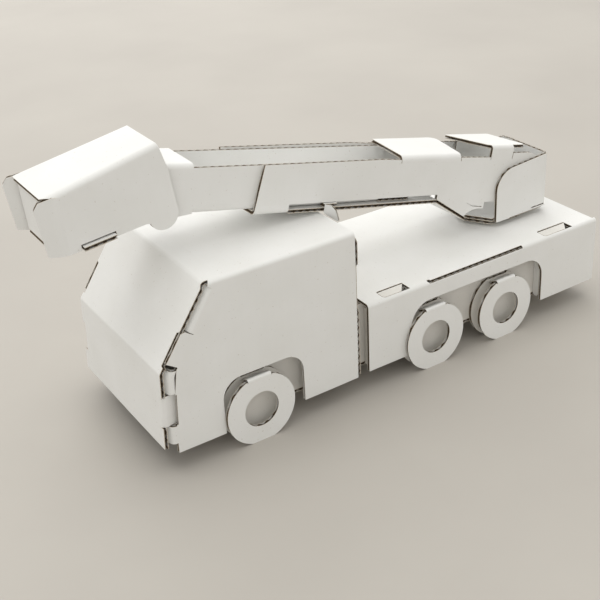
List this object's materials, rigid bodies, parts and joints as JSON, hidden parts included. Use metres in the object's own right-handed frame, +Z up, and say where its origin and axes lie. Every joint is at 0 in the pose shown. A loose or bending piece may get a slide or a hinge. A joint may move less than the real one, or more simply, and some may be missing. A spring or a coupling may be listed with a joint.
{
  "type": "cardboard crane truck kit",
  "caption": "Folded corrugated-board toy crane truck with a slewing turntable, a luffing telescopic boom and a tilting bucket at its tip.",
  "frame": {"origin": "on the ground below the middle of the whole truck with its boom stowed", "axes": "+X towards the truck's nose, +Y towards its left side, +Z up"},
  "size_m": [0.2428, 0.0736, 0.1166],
  "materials": {
    "white_board": "matte white liner paper on corrugated board, tan flutes on cut edges",
    "inner_board": "matte white liner paper in the shade, tan flutes on cut edges"
  },
  "bodies": {
    "truck": {"cab_shell": "white_board", "cab_front_panel": "white_board", "cab_back_wall": "inner_board", "deck_shell": "white_board", "deck_front_wall": "inner_board", "chassis_side_left": "inner_board", "chassis_side_right": "inner_board", "chassis_floor": "inner_board", "rear_bulkhead": "inner_board", "middle_bulkhead": "inner_board", "front_bulkhead": "inner_board", "wheel_front_left": "white_board", "wheel_middle_left": "white_board", "wheel_rear_left": "white_board", "wheel_front_right": "white_board", "wheel_middle_right": "white_board", "wheel_rear_right": "white_board", "wheel_backing_front_left": "inner_board", "wheel_backing_middle_left": "inner_board", "wheel_backing_rear_left": "inner_board", "wheel_backing_front_right": "inner_board", "wheel_backing_middle_right": "inner_board", "wheel_backing_rear_right": "inner_board"},
    "turntable": {"turntable_lower_plate": "inner_board", "turntable_upper_plate": "white_board", "turntable_housing": "white_board", "slew_hub": "inner_board", "slew_retainer": "inner_board"},
    "outer_boom": {"outer_boom": "white_board", "boom_front_cover": "white_board", "boom_rear_cover": "white_board", "luff_disc_left": "inner_board", "luff_disc_right": "inner_board"},
    "inner_boom": {"inner_boom": "white_board", "inner_boom_tip_cover": "white_board", "slider_tab_left": "white_board", "slider_tab_right": "white_board", "bucket_hinge_disc_left": "inner_board", "bucket_hinge_disc_right": "inner_board"},
    "bucket": {"bucket_shell": "white_board", "bucket_front_panel": "white_board", "bucket_bottom_panel": "white_board"}
  },
  "joints": [
    {"name": "slew", "type": "hinge", "parent": "truck", "child": "turntable", "pos_m": [-0.0943, 0, 0.039], "axis": [0, 0, 1], "continuous": true},
    {"name": "luff", "type": "hinge", "parent": "turntable", "child": "outer_boom", "pos_m": [-0.0963, 0, 0.0575], "axis": [0, -1, 0], "range_deg": [0, 40]},
    {"name": "extend", "type": "slide", "parent": "outer_boom", "child": "inner_boom", "axis": [0.9757, 0, 0.219], "range_m": [-0.026, 0]},
    {"name": "bucket_tilt", "type": "hinge", "parent": "inner_boom", "child": "bucket", "pos_m": [0.07541, 0, 0.0902], "axis": [0, -1, 0], "range_deg": [-16, 25]}
  ]
}
